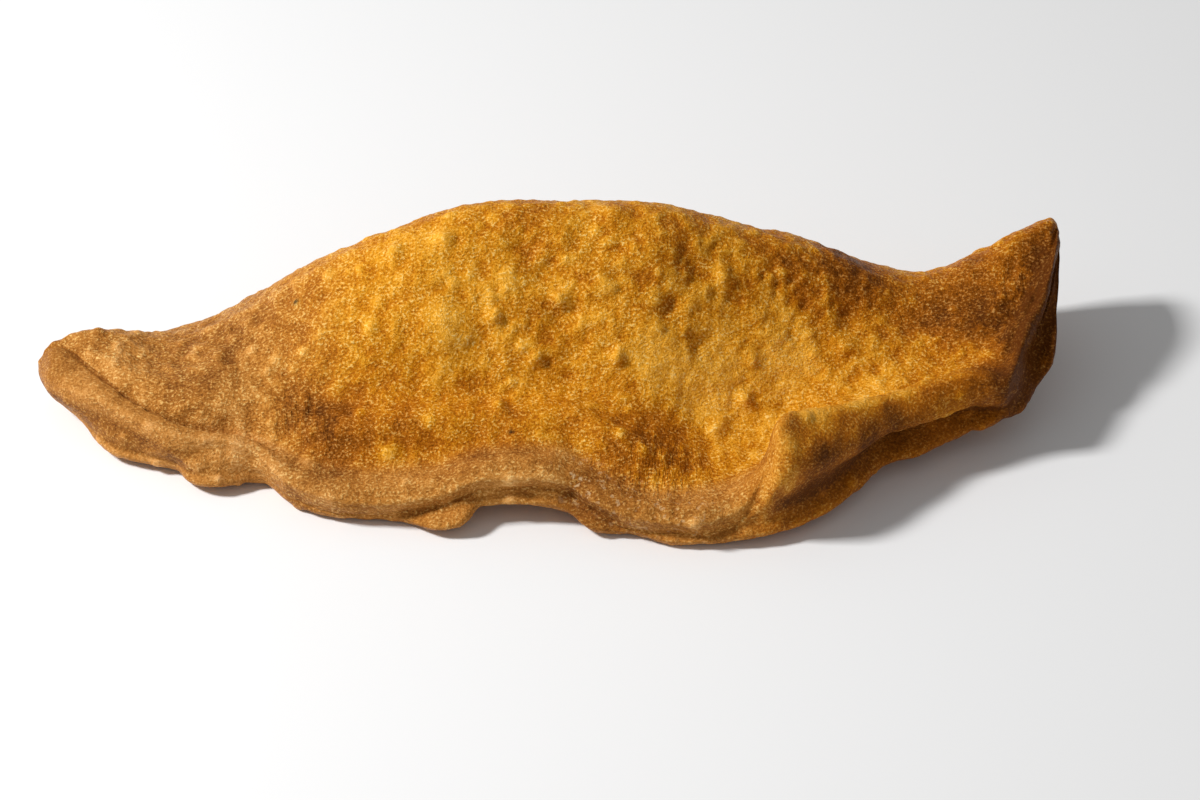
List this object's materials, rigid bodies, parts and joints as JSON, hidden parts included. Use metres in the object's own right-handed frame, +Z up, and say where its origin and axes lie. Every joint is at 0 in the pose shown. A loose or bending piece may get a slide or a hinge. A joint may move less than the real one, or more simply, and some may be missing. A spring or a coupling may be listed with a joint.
{
  "type": "pepperoni panzerotto",
  "caption": "Deep-fried folded dough turnover with a puffed belly, a wavy pinched rim, a curled-up lip and a raised tip; a ready-to-eat filled bread.",
  "frame": {"origin": "middle of the bounding box, on the flat base that it rests on", "axes": "+X along the length, towards the raised tip; +Y to the folded side, away from the pinched rim; +Z up"},
  "size_m": [0.1998, 0.0732, 0.0402],
  "materials": {
    "fried_dough": "satin, oily"
  },
  "bodies": {
    "root": {"panzerotto": "fried_dough"}
  },
  "joints": []
}
